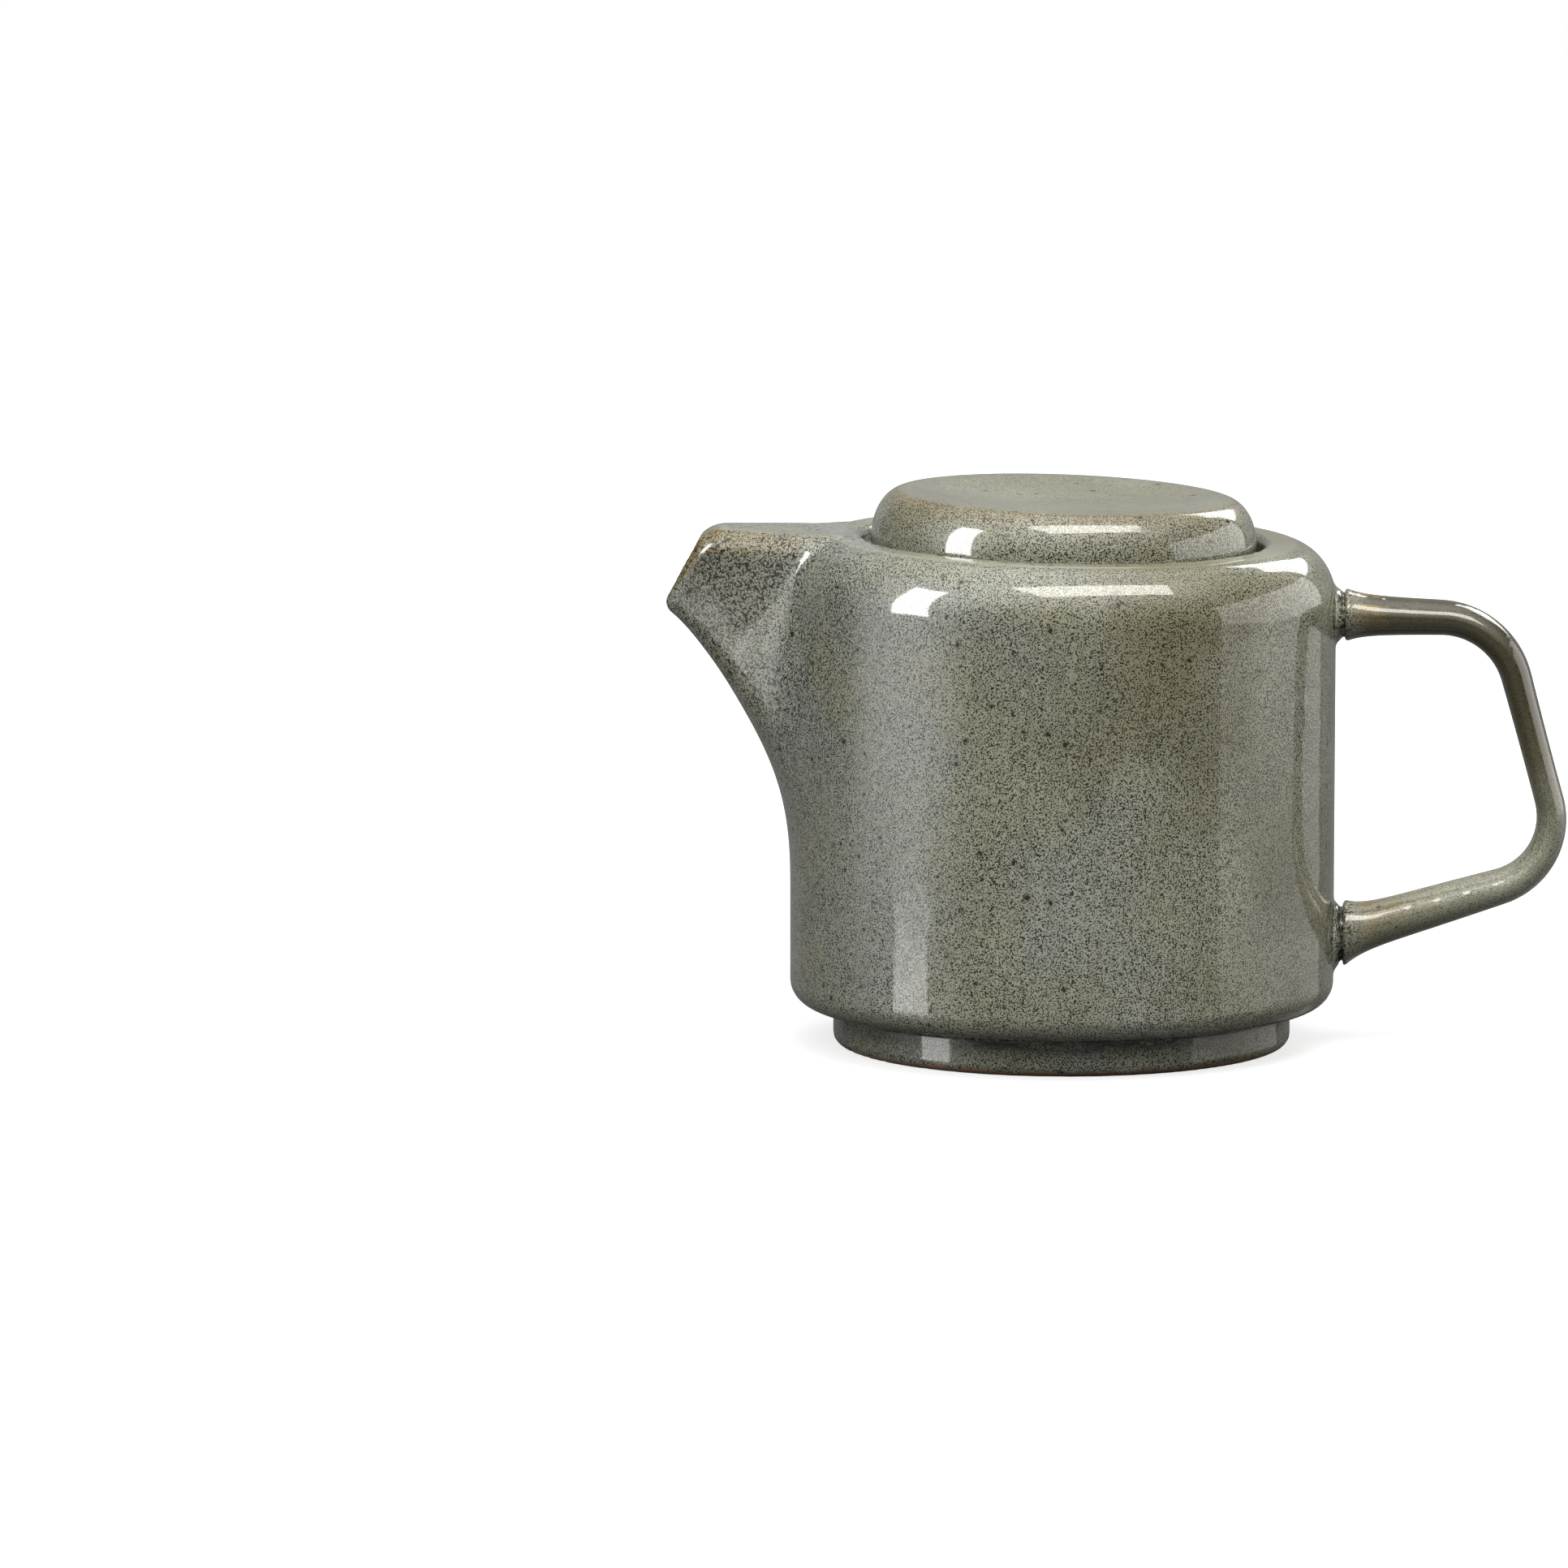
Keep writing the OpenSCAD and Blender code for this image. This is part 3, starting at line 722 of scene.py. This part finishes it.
def pot_masks(net, point, curve, up):
    """Where the pot's glaze is thin, pooled, coarse or missing, from its curvature and place. Shade under the
    heel is painted in with the pooled dark, and level tops lose dots, partly to a painted sheen.
    """
    at = net.node("ShaderNodeSeparateXYZ", {0: point}).outputs
    x, z = at["X"], at["Z"]

    def times(a, b):
        return net.math("MULTIPLY", a, b)

    handle_on = net.ramp(x, *handle_starts)
    at_joint = times(net.ramp(x, *joint_fades), handle_on)
    on_spout = times(net.ramp(x, *beak_x), net.ramp(z, *beak_z))
    seam = times(net.ramp(x, *seam_in_x), net.ramp(x, *seam_out_x))
    coarse = net.math("MAXIMUM", times(net.ramp(x, *coarse_x), net.ramp(z, *coarse_z)), seam)

    ragged = net.noise(point, 700.0, 2.0)
    bare = net.ramp(net.math("MULTIPLY_ADD", ragged, -bare_ragged, z), *bare_edge, 1.0, 0.0)

    pool_noise = net.ramp(net.noise(point, 900.0, 2.0), 0.42, 0.6)
    pool_and_shade = times(net.ramp(curve, *pot_hollow), times(pool_noise, net.ramp(x, *pool_x)))
    # Painted shade: a dark broken band round the top of the foot, under the heel's overhang.
    under_heel_shade = times(net.ramp(z, *heel_shade_low_z), net.ramp(z, *heel_shade_high_z))
    long_noise = net.noise(net.vector("MULTIPLY", point, (1.0, 1.0, 4.0)), 170.0, 3.0, 0.6)
    pool_and_shade = net.math("MAXIMUM", pool_and_shade, times(under_heel_shade, net.ramp(long_noise, 0.47, 0.56)))

    upper_arm = times(handle_on, net.ramp(z, *arm_z, 0.02, 1.0))
    olive = net.math("MULTIPLY_ADD", upper_arm, 0.9, net.ramp(x, *olive_x, 0.10, 0.8))
    streak_noise = net.noise(net.vector("MULTIPLY", point, (0.35, 1.0, 1.0)), 420.0, 2.0)
    streak = times(net.ramp(streak_noise, 0.44, 0.6), times(handle_on, net.ramp(x, *streak_x)))
    thin = times(net.ramp(curve, *pot_edge), net.math("MAXIMUM", on_spout, at_joint))
    thin = net.math("MAXIMUM", times(thin, 0.8), times(streak, net.ramp(up, 0.0, 0.6)))

    blue = net.math("MAXIMUM", net.ramp(x, *blue_x, 0.9, 0.2), seam)
    # Fewer dots on the handle, and on level tops partly as a painted sheen.
    dots = times(net.math("MULTIPLY_ADD", handle_on, -0.45, 1.0), net.ramp(up, *flat_up_sheen, 1.0, 0.1))
    return {"Thin": thin, "Coarse": coarse, "Bare": bare, "PoolAndShade": pool_and_shade, "Olive": olive, "Blue": blue,
            "Spots": net.ramp(x, *spots_x, 1.0, 0.25), "Dots": dots, "Brown": upper_arm}


def lid_masks(net, point, curve, up):
    """Where the lid's glaze is thin, on its crest, and has fewer dots on its level parts, partly as a painted
    sheen.
    """
    return {"Thin": net.ramp(curve, *lid_edge, 0.0, 0.6), "Dots": net.ramp(up, *flat_up_sheen, 1.0, 0.5)}


pot.data.materials.append(glazed("PotGlaze", {}, pot_masks))
lid.data.materials.append(glazed("LidGlaze", {"Blue": 0.4, "Olive": 0.45, "Spots": 0.5}, lid_masks))


# Studio
# A dim room. A tall window box at the left shows only in reflections, and a bounce lamp in front lights the
# pot without being reflected. A rim lamp behind, a strip overhead and a pale panel at the right do both.
# The world glows above, at the left and behind. Sizes are in metres.
aim_height, tilt_above = 0.07, 0.5
ceiling, ceiling_level, ceiling_edge = (0.0, -0.25, 0.968), 1.4, 0.35
left_wall, left_level, left_edge = (-0.883, -0.321, 0.342), 0.9, 0.80
behind_level, room_level = 0.30, 0.04
behind_narrows, behind_edge = 1.35, (-0.05, 0.1)


def panel(name, azimuth, distance, height, size, radiance, tint=(1, 1, 1)):
    """Rectangular area lamp facing the pot's axis, azimuth 0 towards the camera and 90 to its right. A lamp
    that hangs high looks down at the pot."""
    data = bpy.data.lights.new(name, "AREA")
    data.shape = "RECTANGLE"
    data.size, data.size_y = size
    data.energy = radiance * size[0] * size[1] * math.pi
    data.color = tint
    obj = bpy.data.objects.new(name, data)
    a = math.radians(azimuth)
    obj.location = (distance * math.sin(a), -distance * math.cos(a), height)
    pitch = math.atan2(aim_height - height, distance) if height > tilt_above else 0.0
    obj.rotation_euler = (math.pi / 2 + pitch, 0, a)
    obj.visible_camera = False
    bpy.context.scene.collection.objects.link(obj)
    return obj


panel("window", -63.5, 0.68, 0.367, (0.20, 0.59), 13.0).visible_diffuse = False
panel("bounce", -18, 0.80, 0.62, (0.60, 0.40), 5.4).visible_glossy = False
panel("rim", 152, 0.90, 0.57, (0.36, 0.36), 5.0)
panel("strip", 27, 0.40, 0.86, (0.78, 0.34), 7.2, (1.0, 0.96, 0.88))
panel("right_panel", 104, 0.80, 0.17, (1.10, 0.55), 1.75, (1.0, 0.98, 0.95))

world = bpy.data.worlds.new("studio")
world.use_nodes = True
world.node_tree.nodes.clear()
net = Net(world.node_tree)
ray = net.node("ShaderNodeLightPath").outputs
toward = net.node("ShaderNodeTexCoord").outputs["Generated"]
axis = net.node("ShaderNodeSeparateXYZ", {0: toward}).outputs
sideways = net.math("MULTIPLY", net.math("ABSOLUTE", axis["X"]), behind_narrows)
behind = net.ramp(net.math("SUBTRACT", axis["Y"], sideways), *behind_edge)
above = net.ramp(net.value("DOT_PRODUCT", toward, ceiling), ceiling_edge, 1.0)
beside = net.ramp(net.value("DOT_PRODUCT", toward, left_wall), left_edge, 1.0)
glow = net.math("MULTIPLY_ADD", behind, behind_level, room_level)
glow = net.math("ADD", glow, net.math("MULTIPLY", above, ceiling_level))
glow = net.math("ADD", glow, net.math("MULTIPLY", beside, left_level))
strength = net.math("MAXIMUM", glow, ray["Is Camera Ray"])
shine = net.node("ShaderNodeBackground", {"Color": (1, 1, 1, 1), "Strength": strength})
net.node("ShaderNodeOutputWorld", {"Surface": shine.outputs[0]})
bpy.context.scene.world = world

# Sheet
# A white sheet under the pot, plain white to the camera apart from the pot's shadow. Reflections and
# bounced light see it as a grey gloss surface instead, with a patch of painted light glowing where the
# window's light would fall.
sheet_half = 3.0
sheet_white, sheet_lift, sheet_far_lift = (0.3, 0.3, 0.3, 1), 0.75, 0.28
table_grey, table_rough, table_specular = (0.10, 0.10, 0.10, 1), 0.14, 0.1
painted_light_way, painted_light_edge, painted_light_level = (-0.927, -0.375, 0), 0.84, 0.85
far_from, far_to = 0.15, 0.50
corners = [(-1, -1), (1, -1), (1, 1), (-1, 1)]
sheet_mesh = bpy.data.meshes.new("floor")
sheet_mesh.from_pydata([(x * sheet_half, y * sheet_half, 0) for x, y in corners], [], [(0, 1, 2, 3)])
floor = bpy.data.objects.new("floor", sheet_mesh)
bpy.context.scene.collection.objects.link(floor)
floor_mat = bpy.data.materials.new("white_sheet")
floor_mat.use_nodes = True
floor_mat.node_tree.nodes.clear()
net = Net(floor_mat.node_tree)
ray = net.node("ShaderNodeLightPath").outputs
place = net.node("ShaderNodeTexCoord").outputs["Object"]
far = net.ramp(net.value("LENGTH", place), far_from, far_to)
matt = net.node("ShaderNodeBsdfDiffuse", {"Color": sheet_white})
lift_level = net.math("MULTIPLY_ADD", far, sheet_far_lift, sheet_lift)
lift = net.node("ShaderNodeEmission", {"Color": (1, 1, 1, 1), "Strength": lift_level})
white = net.node("ShaderNodeAddShader", {0: matt.outputs[0], 1: lift.outputs[0]})
# Painted light: the sheet glows in a patch towards the window, away from the pot, for the pot to reflect and
# be lit by.
way = net.value("DOT_PRODUCT", net.vector("NORMALIZE", place), painted_light_way)
painted_light_patch = net.math("MULTIPLY", net.ramp(way, painted_light_edge, 1.0), far)
table_inputs = {"Base Color": table_grey, "Roughness": table_rough, "Specular IOR Level": table_specular,
                "Emission Color": (1, 1, 1, 1), "Emission Strength": net.math("MULTIPLY", painted_light_patch, painted_light_level)}
table = net.node("ShaderNodeBsdfPrincipled", table_inputs)
seen = net.node("ShaderNodeMixShader", {0: ray["Is Camera Ray"], 1: table.outputs[0], 2: white.outputs[0]})
net.node("ShaderNodeOutputMaterial", {"Surface": seen.outputs[0]})
sheet_mesh.materials.append(floor_mat)

# Camera
# Placed where the photograph's own perspective puts it: about 1.7 m away and a little above the pot.
camera_at = (0.0358, -1.6954, 0.2723)
camera_look = np.array([-0.0502, 0.9900, -0.1318])
camera_data = bpy.data.cameras.new("camera")
camera_data.sensor_width = 36.0
camera_data.lens = 218.0
camera_data.clip_end = 20.0
camera = bpy.data.objects.new("camera", camera_data)
camera.location = camera_at
pitch = math.asin(camera_look[2] / np.linalg.norm(camera_look))
camera.rotation_euler = (math.pi / 2 + pitch, 0, math.atan2(-camera_look[0], camera_look[1]))
bpy.context.scene.collection.objects.link(camera)
bpy.context.scene.camera = camera
bpy.context.scene.view_settings.view_transform = "Standard"
